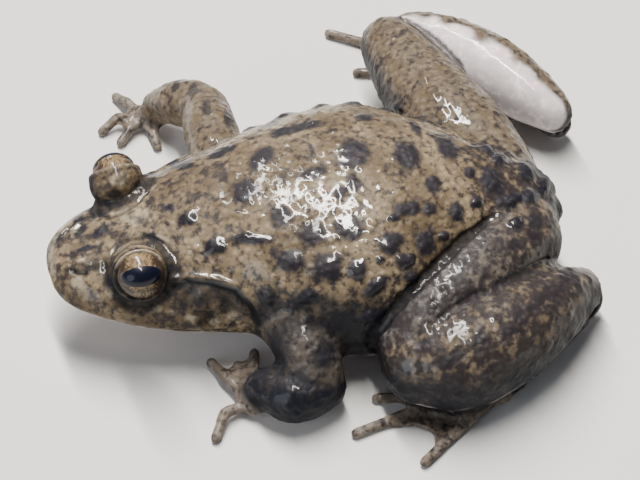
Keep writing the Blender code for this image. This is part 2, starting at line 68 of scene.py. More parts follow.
photoView = {
    "azimuth": 81.0,  # degrees round the frog, 90 looks along -X
    "elevation": 45.0,
    "distance": 0.25,
    "lens": 167.0,
    "sensor": 36.0,
    "target": Vector((0, 0, 0.0075)),
    "targetPixel": (330, 222),  # where that point is in the picture
    "size": (640, 480),
    "nearClip": 0.01,
}


def viewAxes():
    around, above = math.radians(photoView["azimuth"]), math.radians(photoView["elevation"])
    level = math.cos(above)
    back = Vector((math.sin(around) * level, -math.cos(around) * level, math.sin(above)))
    right = Vector((math.cos(around), math.sin(around), 0))
    return right, back.cross(right), back


def cameraPlace():
    return photoView["target"] + viewAxes()[2] * photoView["distance"]


def focalLength():
    # In the picture's pixels.
    return photoView["lens"] / photoView["sensor"] * photoView["size"][0]


def rayThrough(pixel):
    right, up, back = viewAxes()
    across = (pixel[0] - photoView["targetPixel"][0]) / focalLength()
    down = (pixel[1] - photoView["targetPixel"][1]) / focalLength()
    return (right * across - up * down - back).normalized()


def makeCamera():
    bpy.ops.object.camera_add(location=cameraPlace())
    camera = bpy.context.active_object
    camera.name = "camera"
    right, up, back = viewAxes()
    camera.rotation_mode = "QUATERNION"
    camera.rotation_quaternion = Matrix((right, up, back)).transposed().to_quaternion()
    wide, high = photoView["size"]
    camera.data.lens = photoView["lens"]
    camera.data.sensor_width = photoView["sensor"]
    camera.data.shift_x = (wide / 2 - photoView["targetPixel"][0]) / wide
    camera.data.shift_y = (photoView["targetPixel"][1] - high / 2) / wide
    camera.data.clip_start = photoView["nearClip"]
    bpy.context.scene.camera = camera


def selectOnly(piece):
    bpy.ops.object.select_all(action="DESELECT")
    piece.select_set(True)
    bpy.context.view_layer.objects.active = piece


def applyModifier(piece, kind, **settings):
    selectOnly(piece)
    modifier = piece.modifiers.new(kind.lower(), kind)
    for name, value in settings.items():
        setattr(modifier, name, value)
    bpy.ops.object.modifier_apply(modifier=modifier.name)


def readPlaces(piece):
    places = np.empty(len(piece.data.vertices) * 3, np.float32)
    piece.data.vertices.foreach_get("co", places)
    return places.reshape(-1, 3).astype(np.float64) / mm


def readNormals(piece):
    normals = np.empty(len(piece.data.vertices) * 3, np.float32)
    piece.data.vertices.foreach_get("normal", normals)
    return normals.reshape(-1, 3).astype(np.float64)


def writePlaces(piece, places):
    piece.data.vertices.foreach_set("co", (places * mm).astype(np.float32).ravel())
    piece.data.update()


def writeValues(piece, name, values):
    layer = piece.data.attributes.get(name) or piece.data.attributes.new(name, "FLOAT", "POINT")
    layer.data.foreach_set("value", values.astype(np.float32))


def smoothStep(values, low, high):
    share = np.clip((values - low) / (high - low), 0, 1)
    return share * share * (3 - 2 * share)


print("camera")
makeCamera()

# The skin starts as the solids of the flesh, swollen until they meet, made one mesh and shrunk back.
skinShape = {
    "swell": 0.3,  # mm
    "voxel": 0.17,  # mm, the size of a face while the skin is shaped
    "mergeNearer": 1e-6,  # metres
    "smoothRounds": 120,
    "smoothing": 0.5,  # how far a round moves a point towards the middle of its neighbours
    "ownShare": 0.4,  # of a painted value that a point keeps in a round of softening
    "creaseDepth": 0.3,  # mm, where a folded leg's parts press together
    "kneeDepth": 0.4,  # of that, between the thigh and the shank
    "creaseHollow": (0.0005, 0.004),  # how hollow the skin is where a crease starts and is whole
    "creaseRounds": 6,
    "hipFoldEnds": (15, 10),  # mm behind the belly's middle
    "keptShare": 0.43,  # of its triangles, once it is shaped
}
fleshNames = sorted(name for name in frame["nodes"] if not name.startswith("eye"))
eyeNames = ["eye_left", "eye_right"]


def copyOfNode(name):
    made = frame["nodes"][name].copy()
    made.data = made.data.copy()
    made.parent = None
    for key in list(made.keys()):
        del made[key]
    bpy.context.scene.collection.objects.link(made)
    made.name = "flesh_" + name
    selectOnly(made)
    bpy.ops.object.mode_set(mode="EDIT")
    bpy.ops.mesh.select_all(action="SELECT")
    bpy.ops.mesh.remove_doubles(threshold=skinShape["mergeNearer"])
    bpy.ops.object.mode_set(mode="OBJECT")
    return made


def dropLooseShells(piece):
    selectOnly(piece)
    bpy.ops.object.mode_set(mode="EDIT")
    bpy.ops.mesh.select_all(action="DESELECT")
    bpy.ops.object.mode_set(mode="OBJECT")
    top = max(piece.data.vertices, key=lambda vertex: vertex.co.z)
    top.select = True
    bpy.ops.object.mode_set(mode="EDIT")
    bpy.ops.mesh.select_linked()
    bpy.ops.mesh.select_all(action="INVERT")
    bpy.ops.mesh.delete(type="VERT")
    bpy.ops.object.mode_set(mode="OBJECT")


def makeSkin():
    copies = [copyOfNode(name) for name in fleshNames + eyeNames]
    for piece in copies:
        applyModifier(piece, "DISPLACE", strength=skinShape["swell"] * mm, mid_level=0)
    bpy.ops.object.select_all(action="DESELECT")
    for piece in copies:
        piece.select_set(True)
    bpy.context.view_layer.objects.active = copies[0]
    bpy.ops.object.join()
    skin = copies[0]
    skin.name = "skin"
    applyModifier(skin, "REMESH", mode="VOXEL", voxel_size=skinShape["voxel"] * mm)
    dropLooseShells(skin)
    applyModifier(skin, "DISPLACE", strength=-skinShape["swell"] * mm, mid_level=0)
    return skin


print("skin")
skin = makeSkin()
edges = np.empty(len(skin.data.edges) * 2, np.int64)
skin.data.edges.foreach_get("vertices", edges)
edges = edges.reshape(-1, 2)
neighbours = np.bincount(edges.ravel(), minlength=len(skin.data.vertices))


def averageOfNeighbours(values):
    total = np.zeros_like(values)
    for here, there in ((0, 1), (1, 0)):
        for column in range(values.shape[1]):
            total[:, column] += np.bincount(edges[:, here], values[edges[:, there], column], len(values))
    return total / neighbours[:, None]


def spread(values, rounds):
    # Softens a painted value over the skin.
    own = skinShape["ownShare"]
    values = values.reshape(-1, 1)
    for _ in range(rounds):
        values = values * own + averageOfNeighbours(values) * (1 - own)
    return values[:, 0]


def soften(places, rounds, weight):
    # Smooths facets away and gives back the girth that this takes.
    step = (skinShape["smoothing"] * weight)[:, None]
    start = places
    for _ in range(rounds):
        places = places + (averageOfNeighbours(places) - places) * step
    lost = start - places
    for _ in range(rounds):
        lost = lost + (averageOfNeighbours(lost) - lost) * step
    return places + lost


def ownersOfSkin(places):
    # The number of the solid that lies nearest to each point of the skin.
    corners, faces, owners = [], [], []
    for number, name in enumerate(fleshNames):
        mesh = frame["nodes"][name].data
        start = len(corners)
        corners += [vertex.co / mm for vertex in mesh.vertices]
        faces += [[start + corner for corner in face.vertices] for face in mesh.polygons]
        owners += [number] * len(mesh.polygons)
    tree = BVHTree.FromPolygons(corners, faces)
    return np.array([owners[tree.find_nearest(place)[2]] for place in places])


def belongsTo(*parts):
    wanted = [number for number, name in enumerate(fleshNames) if name.startswith(parts)]
    return np.isin(owners, wanted).astype(float)


# How many rounds soften the border of each part, and how much it is held back from the smoothing.
partRounds = {"hands": 8, "head": 25, "limbs": 12, "torso": 12, "seams": 14, "forearm": 20, "thigh": 10}
heldBack = {"hands": 0.93, "slimParts": 0.4, "head": 0.75, "seams": 0.75, "leastSmoothing": 0.04}
seamPeak = 0.22  # what a seam's value falls to at its middle when it is softened

print("smoothing")
places = readPlaces(skin)
owners = ownersOfSkin(places)
hands = spread(belongsTo("hand", "foot"), partRounds["hands"])
slimParts = spread(belongsTo("tarsus", "forearm", "upper_arm"), partRounds["limbs"])
headPart = spread(belongsTo("head"), partRounds["head"])
torsoPart = spread(belongsTo("torso"), partRounds["torso"])
legPart = spread(belongsTo("thigh", "shank", "tarsus", "foot"), partRounds["limbs"])
armPart = spread(belongsTo("upper_arm", "forearm", "hand"), partRounds["limbs"])


def seamsBetween(first, second):
    # The line where two solids meet, as a soft band.
    firstPart, secondPart = belongsTo(first), belongsTo(second)
    meeting = firstPart[edges[:, 0]] * secondPart[edges[:, 1]]
    meeting += firstPart[edges[:, 1]] * secondPart[edges[:, 0]]
    line = np.zeros(len(places))
    line[edges[meeting > 0].ravel()] = 1
    return spread(line, partRounds["seams"])


kneeFold = seamsBetween("thigh_left", "shank_left")
hipFold = seamsBetween("torso", "thigh_left") * smoothStep(places[:, 1], *skinShape["hipFoldEnds"])
legSeams = kneeFold + hipFold
legSeams += seamsBetween("shank_left", "tarsus_left") + seamsBetween("shank_right", "tarsus_right")
legSeams += seamsBetween("thigh_left", "tarsus_left") + seamsBetween("thigh_right", "shank_right")
legSeams = np.clip(legSeams / seamPeak, 0, 1)
weight = 1 - heldBack["hands"] * hands - heldBack["slimParts"] * slimParts
weight = weight - heldBack["head"] * headPart - heldBack["seams"] * legSeams
weight = np.clip(weight, heldBack["leastSmoothing"], 1)
places = soften(places, skinShape["smoothRounds"], weight)
writePlaces(skin, places)


def hollowsOf(places, normals, rounds):
    # How hollow the skin is: more than 0 in creases, less on ridges.
    bend = ((averageOfNeighbours(places) - places) * normals).sum(axis=1)
    return spread(bend, rounds)


kneeFold = np.clip(kneeFold / seamPeak, 0, 1)
depth = skinShape["creaseDepth"] * legSeams * (1 - (1 - skinShape["kneeDepth"]) * kneeFold)
creaseHollows = hollowsOf(places, readNormals(skin), skinShape["creaseRounds"])
depth *= smoothStep(creaseHollows, *skinShape["creaseHollow"])
places = places - readNormals(skin) * depth[:, None]
writePlaces(skin, places)

# Eyes. An eyeball stands in the skin's dome, and the lids close round it.
eyeShape = {
    "radius": 2.15,  # mm
    "gaze": Vector((0.78, -0.04, 0.62)),  # of the left eye, before the head's turn
    "headTurn": 4.0,  # degrees to the frog's left
    "pupil": (0.70, 0.35),  # half length and half height, against the radius
    "corneaFrom": 0.45,  # along the gaze, against the radius
    "corneaBulge": 0.08,  # mm
    "lensReach": 1.15,  # against the pupil
    "lensBulge": 0.30,  # mm
    "faces": (96, 72),  # round the ball and along it
}

# The lids. Angles are degrees from the gaze, lengths are mm from the eyeball's centre, and a height
# is 1 straight above the gaze and -1 below. A pair is where a thing starts and where it is whole.
lidShape = {
    "rim": 68.0,
    "lower": 4.0,  # degrees less below
    "upper": 10.0,  # degrees less above
    "thickness": 0.17,
    "slope": 6.0,  # degrees over which the lid ends
    "hollow": 0.55,  # behind the eyeball's face
    "angles": (152, 128),  # what the lids take in of the dome
    "distances": (3.25, 2.7),
    "edge": (3, 4, 0.03),  # degrees past the rim, half its width in degrees, and how high it stands
    "edgeHeights": (0.25, 0.6),
    "crease": (13, 4, 0.1),  # the same for the crease above the edge, and how deep it is
    "creaseHeights": (-0.2, 0.3),
    # The crease's darkness and the ring are painted shade, and the edge's share is of a painted
    # highlight.
    "creaseDarkness": 0.9,
    "creaseShare": {1: 1, -1: 0.35},  # of the left and the right eye
    "edgeShare": {1: 0.85, -1: 0.4},
    "ringForward": 0.45,  # how much higher the dark ring reaches towards the snout
    "ringHeights": (0.35, -0.1),
    "ringOuter": (40, 22),  # degrees past the rim
    "ringInner": (12, 6),  # degrees inside the rim
    "socket": {"beside": (3.15, 2.7), "angles": (132, 118), "distances": (4.2, 3.6)},
}


def eyeAxes(side):
    turn = Matrix.Rotation(math.radians(eyeShape["headTurn"]), 3, "Z")
    gaze = eyeShape["gaze"].copy()
    gaze.x *= side
    gaze = (turn @ gaze).normalized()
    forward = turn @ Vector((0, -1, 0))
    above = forward.cross(gaze).normalized()
    above = above if above.z > 0 else -above
    return gaze, above, above.cross(gaze)


def eyeCentre(name):
    low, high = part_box(name)
    return (low + high) / 2 / mm


def closeLids(places, name, side):
    # Moves the skin round an eye in or out along lines from its centre: a thin lid with an edge, and
    # a hollow behind the eyeball where the lids are open. Gives too a painted shade, as a dark ring below
    # and round the eyeball and in the lid's crease, and a painted highlight along the upper lid's edge.
    centre, (gaze, above, along) = eyeCentre(name), eyeAxes(side)
    away = places - np.array(centre)
    distance = np.linalg.norm(away, axis=1)
    away /= distance[:, None]
    angle = np.degrees(np.arccos(np.clip(away @ np.array(gaze), -1, 1)))
    height = away @ np.array(above)
    rim = lidShape["rim"] + lidShape["lower"] * np.clip(height, -1, 0)
    rim = rim - lidShape["upper"] * np.clip(height, 0, 1)
    radius, lid = eyeShape["radius"], lidShape["thickness"]
    edgeAt, edgeWide, edgeHigh = lidShape["edge"]
    creaseAt, creaseWide, creaseDeep = lidShape["crease"]
    opened = smoothStep(rim - angle, 0, lidShape["slope"])
    edge = np.exp(-((angle - rim - edgeAt) / edgeWide) ** 2)
    crease = np.exp(-((angle - rim - creaseAt) / creaseWide) ** 2)
    crease = crease * smoothStep(height, *lidShape["creaseHeights"]) * lidShape["creaseShare"][side]
    wanted = radius + lid + edgeHigh * edge - creaseDeep * crease - (lid + lidShape["hollow"]) * opened
    near = smoothStep(angle, *lidShape["angles"]) * smoothStep(distance, *lidShape["distances"])
    moved = distance + (wanted - distance) * near
    forward = lidShape["ringForward"] * np.clip(-away[:, 1], 0, 1)
    lower = smoothStep(height - forward, *lidShape["ringHeights"])
    outer, inner = lidShape["ringOuter"], lidShape["ringInner"]
    inside = smoothStep(angle, rim - inner[0], rim - inner[1])
    ring = smoothStep(angle, rim + outer[0], rim + outer[1]) * inside * near * lower
    socket = lidShape["socket"]
    around = smoothStep(distance * np.sin(np.radians(angle)), *socket["beside"])
    around = around * smoothStep(angle, *socket["angles"]) * smoothStep(distance, *socket["distances"])
    ring = np.maximum(ring, around * lower * inside)
    ring = np.maximum(ring, crease * near * lidShape["creaseDarkness"])
    bright = edge * near * smoothStep(height, *lidShape["edgeHeights"]) * lidShape["edgeShare"][side]
    return np.array(centre) + away * moved[:, None], ring, bright


print("lids")
# Painted shade round the eyes, and a painted highlight on the upper lids' edges.
eyeShadeRing, lidEdge = np.zeros(len(places)), np.zeros(len(places))
for name, side in zip(eyeNames, (1, -1)):
    places, ring, bright = closeLids(places, name, side)
    eyeShadeRing, lidEdge = np.maximum(eyeShadeRing, ring), np.maximum(lidEdge, bright)
writePlaces(skin, places)

# Marks are placed by where they are in the picture, (x, y, half length, half width, degrees turned
# anticlockwise), on whatever skin the camera sees there.
backWarts = [
    (261, 159, 14, 8, 45), (354, 154, 15, 13, 0), (407, 156, 15, 12, -60), (314, 173, 13, 6, 20),
    (354, 184, 7, 6, 0), (340, 193, 6, 7, 0), (433, 184, 7, 9, 0), (244, 192, 13, 11, 20),
    (281, 215, 11, 10, 0), (313, 234, 14, 11, 10), (349, 228, 14, 12, 0), (391, 243, 13, 9, 35),
    (425, 243, 8, 12, 0), (292, 262, 14, 10, 0), (327, 266, 15, 14, 0), (357, 269, 10, 9, 0),
    (404, 262, 9, 8, 0), (401, 210, 7, 6, 0), (394, 218, 5, 4, 0), (429, 210, 7, 6, 0),
    (413, 208, 6, 8, 0), (307, 297, 12, 7, 10), (267, 298, 10, 8, 0), (375, 287, 14, 7, 35),
    (370, 316, 15, 6, 10), (411, 276, 8, 6, 0), (252, 239, 16, 5, 0), (243, 238, 14, 4, 10),
    (215, 246, 10, 9, 0), (447, 148, 14, 8, -55), (486, 149, 9, 5, -30), (491, 180, 13, 8, -60),
    (526, 170, 12, 8, -60), (529, 197, 9, 8, 0), (544, 184, 6, 10, 0), (456, 211, 7, 9, 0),
    (476, 202, 6, 5, 0), (443, 236, 6, 5, 0), (415, 128, 7, 4, -50), (364, 118, 8, 4, 0),
    (397, 108, 9, 4, -20), (188, 219, 9, 6, 0), (410, 257, 5, 4, 0), (380, 260, 5, 4, 0),
    (509, 202, 13, 7, 20), (498, 160, 7, 5, 0), (516, 222, 8, 5, 30), (470, 172, 5, 5, 0),
]
headMarks = [
    (182, 165, 14, 4, 0), (222, 152, 14, 4, 25), (170, 207, 4, 4, 0), (187, 202, 3, 3, 0),
    (102, 231, 11, 3, 35), (78, 220, 6, 3, 40), (99, 213, 4, 4, 0), (107, 203, 3, 3, 0),
    (137, 220, 8, 3, -30), (156, 238, 12, 4, -20), (86, 249, 12, 2, 10), (81, 231, 7, 3, 30),
    (295, 129, 27, 4, 13), (272, 122, 12, 3, 25),
]
legMarks = [
    (569, 276, 13, 8, -50), (526, 310, 10, 7, 30), (504, 330, 9, 6, 40), (483, 339, 10, 6, 20),
    (575, 262, 14, 9, -60), (552, 292, 14, 8, 40), (515, 327, 16, 7, 30), (590, 240, 8, 6, -60),
    (451, 360, 13, 7, 30), (535, 223, 6, 8, 0), (533, 235, 5, 5, 0), (515, 244, 5, 6, 0),
    (518, 230, 4, 4, 0), (540, 300, 8, 5, 40), (470, 300, 9, 5, 35), (498, 285, 8, 5, 35),
    (425, 345, 9, 6, 20), (400, 372, 8, 5, 20), (455, 275, 8, 5, 40), (431, 305, 7, 5, 40),
]
armMarks = [(193, 90, 4, 8, -20), (207, 107, 4, 8, -10), (228, 118, 4, 9, 0), (176, 86, 3, 6, -30)]
# Pale marks: the lips' pale streaks and the nostril's pale rim, with painted highlights on the eyelids,
# such as (119, 179) on the far eye's lid and the thin streaks at (120, 250) and (163, 238) over the near
# eye.
paleMarks = [
    (157, 308, 5, 3, -20), (172, 312, 6, 2, -20), (192, 318, 7, 3, -15), (214, 321, 6, 2, 0),
    (234, 316, 6, 4, 0), (167, 330, 4, 2, 0), (82, 261, 5, 3, 0), (108, 291, 6, 4, -60),
    (119, 179, 9, 6, 20), (163, 238, 9, 2, -30), (120, 250, 8, 2, 35), (78, 284, 6, 7, 0),
]
browPatch = [(136, 216, 17, 10, 0)]
glints = [
    (193, 248, 7, 5, 20), (190, 212, 9, 4, 20), (237, 214, 12, 4, 0), (305, 217, 10, 4, 10),
    (222, 203, 9, 3, 20), (118, 177, 5, 4, 0), (128, 174, 4, 3, 0), (424, 75, 4, 9, 20),
    (433, 95, 4, 8, 20), (442, 113, 6, 7, 20), (425, 333, 6, 8, 0), (308, 341, 6, 5, 0),
]
# Painted shadows, on the low flank above the near arm and on the near arm itself.
flankShadowPatches = [(316, 303, 27, 10, 0), (345, 312, 22, 12, 0), (290, 322, 10, 7, 0)]
armShadowPatches = [(279, 352, 13, 30, 0), (295, 384, 26, 16, 0), (324, 354, 13, 18, 0)]
darkPatches = [(68, 270, 5, 4, 0), (96, 267, 8, 5, 0), (114, 194, 8, 5, 0), (139, 190, 5, 8, -20)]

# How a mark or a crease spreads from its middle. Lengths are mm.
markShape = {
    "reach": 2.5,  # how far its pixels may lie from its middle
    "reachPixels": 5,  # and 1 mm more for as many pixels of its half length
    "wobble": 0.25,  # how ragged its border is
    "wobbleSize": 0.9,
    "creaseReach": 2.2,  # how far a crease may lie from its points
    "facing": 0.03,  # how much the skin has to face the camera to take a crease
}

# Where each kind of mark starts and is whole, in what spotField gives.
markEdges = {
    "pale": (0.7, 1.4),
    "wet": (0.6, 1.8),
    "dark": (0.7, 1.3),
    # The flank's and the arm's edges are those of the painted shadows there.
    "flankShade": (0.4, 1.5),
    "arm": (0.5, 1.5),
    "wart": (0.6, 1.9),
}

# Warts on the side that the camera doesn't see.
hiddenWarts = {
    "count": 28,
    "apart": 2.2,  # mm
    "sizes": (0.65, 1.15),  # mm
    "tries": 40,  # for each
    "turned": (-0.12, 0.1),  # how far the skin looks away from the camera
    "heights": (3, 5),  # mm
    "leastShare": 0.6,  # of both together
}

# Creases and folds, as the picture's points that each runs through.
templeFold = [(180, 280), (190, 276), (213, 279), (237, 286), (254, 303), (263, 322)]
templeLine = [(176, 287), (187, 281), (213, 284), (236, 291), (251, 307), (258, 322)]
eyeCrease = [(105, 262), (107, 280), (115, 297), (129, 307), (146, 308), (162, 301), (173, 286)]
browCrease = [(111, 258), (117, 246), (129, 240), (145, 237), (161, 241), (172, 254)]
snoutStripe = [(90, 270), (97, 267), (105, 267)]
nostrilSlit = [(72, 270), (78, 273), (85, 273)]
nostrilRim = [(76, 266), (82, 263), (88, 265)]
lipLine = [(150, 312), (165, 316), (185, 321), (205, 324), (228, 322)]

# Each with its depth in mm, less than 0 where it stands out, its half width in pixels and how dark it
# is: painted shade in the creases of the eye and brow, in the nostril's slit and under the temple fold,
# and the snout stripe's own dark colour.
creases = [
    (eyeCrease, 0.2, 4.0, 1.0), (browCrease, 0.12, 2.2, 0.7), (nostrilSlit, 0.25, 2.4, 1.0),
    (snoutStripe, 0.05, 2.6, 0.85), (nostrilRim, -0.2, 2.6, 0.0), (templeFold, -0.2, 4.0, 0.0),
    (templeLine, 0.2, 4.2, 1.3), (lipLine, -0.1, 3.5, 0.0),
]

# The mouth and the ear drums, in mm before the head's turn.
mouth = {
    "line": [
        (-24.0, 6.45), (-22.9, 6.0), (-21.3, 5.7), (-19.0, 5.4), (-16.5, 5.0), (-13.0, 4.7), (-9.6, 4.9),
    ],
    "corner": (-10.0, -10.8),  # where the line ends and where it is whole
    "width": 0.15,
    "depth": 0.26,
    "darkness": 0.95,
    "lip": 0.10,
    "lipAbove": 0.55,
    "lipWidth": 0.35,
}
earDrum = {
    "place": (7.9, -12.1, 6.7),
    "flatness": (0.5, 1, 1),  # of the ring, across the head, along it and up
    "radius": 1.25,
    "rim": 0.22,
    "height": 0.14,
    "bowl": 0.12,
    "bowlAt": (0.95, 0.4),  # against the radius
    "darkAt": (1.05, 0.85),
    "darkness": 0.55,
}
headPivot = np.array((0, -8.5, 0))

# Where each noise is taken from, so that no two are alike.
noiseShifts = {"marks": 3.0, "belly": 11.0, "shank": 7.0, "grains": 5.0, "lumps": 9.0}


def pixelsOf(places):
    right, up, back = (np.array(axis) for axis in viewAxes())
    away = places - np.array(cameraPlace()) / mm
    depth = -(away @ back)
    x = photoView["targetPixel"][0] + focalLength() * (away @ right) / depth
    return x, photoView["targetPixel"][1] - focalLength() * (away @ up) / depth


def noiseOver(places, size, shift):
    # Soft noise from about -1 to 1, with lumps of that size in mm.
    offset = Vector((shift, -shift, shift * 2))
    return np.array([noise.noise(Vector(place) / size + offset) for place in places])


def lumpsOver(places, size, shift):
    # Rounded grains, 1 at the middle of a grain and 0 between grains.
    offset = Vector((shift, -shift, shift * 2))
    nearest = np.array([noise.voronoi(Vector(place) / size + offset)[0][0] for place in places])
    return np.clip(1 - nearest * relief["grainNarrower"], 0, 1)


def pictureOf(places, normals):
    # Where each point falls in the picture, and how much it faces the camera.
    towards = np.array(cameraPlace()) / mm - places
    towards /= np.linalg.norm(towards, axis=1)[:, None]
    x, y = pixelsOf(places)
    return x, y, (normals * towards).sum(axis=1)


def seenAt(x, y):
    found = skinTree.ray_cast(cameraPlace() / mm, rayThrough((x, y)))
    return np.array(found[0]) if found[0] is not None else None


def spotField(marks, places, picture, wobble):
    # 2 at a mark's middle, 1 at its border and 0 at twice its size.
    x, y, facing = picture
    field = np.zeros(len(places))
    for middleX, middleY, half, narrow, degrees in marks:
        middle = seenAt(middleX, middleY)
        if middle is None:
            continue
        reach = markShape["reach"] + half / markShape["reachPixels"]
        close = (np.linalg.norm(places - middle, axis=1) < reach) & (facing > 0)
        turn = math.radians(degrees)
        across, up = x[close] - middleX, middleY - y[close]
        along = (across * math.cos(turn) + up * math.sin(turn)) / half
        beside = (up * math.cos(turn) - across * math.sin(turn)) / narrow
        field[close] = np.maximum(field[close], 2 - np.hypot(along, beside) + wobble[close])
    return np.clip(field, 0, 2)


def pathDistance(path, places, picture):
    # How far each seen point is from a line drawn in the picture, in pixels.
    x, y, facing = picture
    best = np.full(len(places), math.hypot(*photoView["size"]))
    middle = [seenAt(*point) for point in path]
    middle = [point for point in middle if point is not None]
    close = np.zeros(len(places), bool)
    for point in middle:
        close |= np.linalg.norm(places - point, axis=1) < markShape["creaseReach"]
    close &= facing > markShape["facing"]
    for (startX, startY), (endX, endY) in zip(path, path[1:]):
        length = math.hypot(endX - startX, endY - startY)
        unit = ((endX - startX) / length, (endY - startY) / length)
        along = np.clip((x - startX) * unit[0] + (y - startY) * unit[1], 0, length)
        away = np.hypot(x - startX - along * unit[0], y - startY - along * unit[1])
        best = np.where(close, np.minimum(best, away), best)
    return best


def mirrored(vectors, offset):
    # The other side of the head, across its middle plane.
    turn = math.radians(eyeShape["headTurn"])
    side = np.array((math.cos(turn), math.sin(turn), 0))
    return vectors - 2 * ((vectors - offset) @ side)[:, None] * side


print("marks")
normals = readNormals(skin)
corners = np.empty(len(skin.data.loops), np.int32)
skin.data.loops.foreach_get("vertex_index", corners)
skinTree = BVHTree.FromPolygons(places.tolist(), corners.reshape(-1, 4).tolist())
wobble = markShape["wobble"] * noiseOver(places, markShape["wobbleSize"], noiseShifts["marks"])
picture = pictureOf(places, normals)
betweenEyes = np.array((eyeCentre("eye_left") + eyeCentre("eye_right")) / 2)
otherPlaces, otherNormals = mirrored(places, betweenEyes), mirrored(normals, np.zeros(3))
otherPicture = pictureOf(otherPlaces, otherNormals)


def marksOn(marks, raggedness=1):
    return spotField(marks, places, picture, raggedness * wobble)


def marksOnBothSides(marks):
    # Also on the other side of the head, mirrored.
    return np.maximum(marksOn(marks), spotField(marks, otherPlaces, otherPicture, wobble))


warts = marksOn(backWarts)
spots = np.maximum(warts, marksOn(headMarks))
limbSpots = np.maximum(marksOn(legMarks), marksOn(armMarks))
paleSpots = smoothStep(marksOnBothSides(paleMarks), *markEdges["pale"])
brow = smoothStep(marksOn(browPatch), *markEdges["pale"])
wetPlaces = smoothStep(marksOn(glints, 0), *markEdges["wet"])
patches = smoothStep(marksOnBothSides(darkPatches), *markEdges["dark"])
# Painted shadows on the low flank and on the near arm.
flankPatchShadow = smoothStep(marksOn(flankShadowPatches), *markEdges["flankShade"]) * torsoPart
armPatchShadow = smoothStep(marksOn(armShadowPatches, 2), *markEdges["arm"]) * armPart


def scatteredWarts():
    # Warts on the side that the camera doesn't see, kept apart from each other.
    hidden = smoothStep(-picture[2], *hiddenWarts["turned"])
    hidden = hidden * smoothStep(places[:, 2], *hiddenWarts["heights"])
    wanted = np.flatnonzero((hidden > hiddenWarts["leastShare"]) & (belongsTo("torso") > 0))
    tries = min(len(wanted), hiddenWarts["count"] * hiddenWarts["tries"])
    kept = []
    for index in random.sample(list(wanted), tries):
        if len(kept) == hiddenWarts["count"]:
            break
        if all(np.linalg.norm(places[index] - places[other]) > hiddenWarts["apart"] for other in kept):
            kept.append(index)
    field = np.zeros(len(places))
    for index in kept:
        size = random.uniform(*hiddenWarts["sizes"])
        away = np.linalg.norm(places - places[index], axis=1) / size
        field = np.maximum(field, 2 - away + wobble)
    return np.clip(field, 0, 2)


scattered = scatteredWarts()
spots, warts = np.maximum(spots, scattered), np.maximum(warts, scattered)

# The relief. Heights and sizes are mm, and a pair is where a thing starts and where it is whole.
relief = {
    "wart": 0.10,
    "sideWart": 0.26,  # more, down the sides
    "sides": (14, 10.5),  # how high they start
    "grain": 0.07,
    "grainSize": 0.62,
    "grainPower": 1.3,
    "grainNarrower": 1.6,  # than the room it has
    "lump": 0.10,
    "lumpSize": 1.7,
    "lumpEdge": (0.45, 0.9),
    "wetBump": 0.16,
    "headSmoothness": 0.6,
    "shankSmoothness": 0.85,
    # The hollow pair is where the painted shade in the hollows starts and is darkest.
    "hollow": (0.001, 0.006),  # how hollow the skin is where it starts to darken and is darkest
    "hollowRounds": 4,
    "floorEdge": (0.05, 0.5),  # how high it has to be, since the skin stays flat below
    "eyeEdge": (0.15, 0.5),  # mm outside the eyeball
    "eyeShare": 0.2,  # of the relief that is left at the eyeball
}

# The pale skin: below, and on the inner side of the far shank, where its border is ragged.
paleSkin = {
    "downwards": (0.45, 0.85),
    "ragged": 0.25,
    "bellySize": 1.8,  # mm
    "shankSize": 1.6,
    "shankSide": (0.62, -0.60, 0.5),  # the way that it looks
    "shankEdge": (0.3, 0.6),
    "shankRounds": 8,
}

print("relief")
ragged = paleSkin["ragged"] * noiseOver(places, paleSkin["bellySize"], noiseShifts["belly"])
belly = smoothStep(-normals[:, 2] + ragged, *paleSkin["downwards"])
# Painted shade, darkest in the skin's hollows and creases.
creaseShade = smoothStep(hollowsOf(places, normals, relief["hollowRounds"]), *relief["hollow"])
farShank = spread(belongsTo("shank_right"), paleSkin["shankRounds"])
ragged = paleSkin["ragged"] * noiseOver(places, paleSkin["shankSize"], noiseShifts["shank"])
innerSide = smoothStep(normals @ np.array(paleSkin["shankSide"]) + ragged, *paleSkin["shankEdge"])
rough = (1 - hands) * (1 - wetPlaces) * (1 - belly) * (1 - relief["headSmoothness"] * headPart)
rough = rough * (1 - relief["shankSmoothness"] * farShank * innerSide)
wartHigh = relief["wart"] + relief["sideWart"] * smoothStep(places[:, 2], *relief["sides"])
grains = lumpsOver(places, relief["grainSize"], noiseShifts["grains"]) ** relief["grainPower"]
lumps = lumpsOver(places, relief["lumpSize"], noiseShifts["lumps"])
lumps = smoothStep(lumps, *relief["lumpEdge"])
height = smoothStep(warts, *markEdges["wart"]) * wartHigh
height = height + rough * (relief["grain"] * grains + relief["lump"] * lumps)
height = height + relief["wetBump"] * wetPlaces
# A crease's darkness is painted shade in it, except the snout stripe's own dark colour.
darkLines = np.zeros(len(places))
for path, depth, width, darkness in creases:
    for sidePlaces, sidePicture in ((places, picture), (otherPlaces, otherPicture)):
        line = np.exp(-(pathDistance(path, sidePlaces, sidePicture) / width) ** 2) * (1 - armPart)
        height -= depth * line
        darkLines = np.maximum(darkLines, darkness * line)

# The head as it would be before its turn, for the mouth and the ear drums.
turn = math.radians(-eyeShape["headTurn"])
straight = (places - headPivot) @ np.array(Matrix.Rotation(turn, 3, "Z")).T + headPivot
lineY, lineZ = zip(*mouth["line"])
above = straight[:, 2] - np.interp(straight[:, 1], lineY, lineZ)
alongMouth = smoothStep(straight[:, 1], *mouth["corner"]) * headPart
lips = np.exp(-(above / mouth["width"]) ** 2) * alongMouth
height -= mouth["depth"] * lips
height += mouth["lip"] * np.exp(-((above - mouth["lipAbove"]) / mouth["lipWidth"]) ** 2) * alongMouth
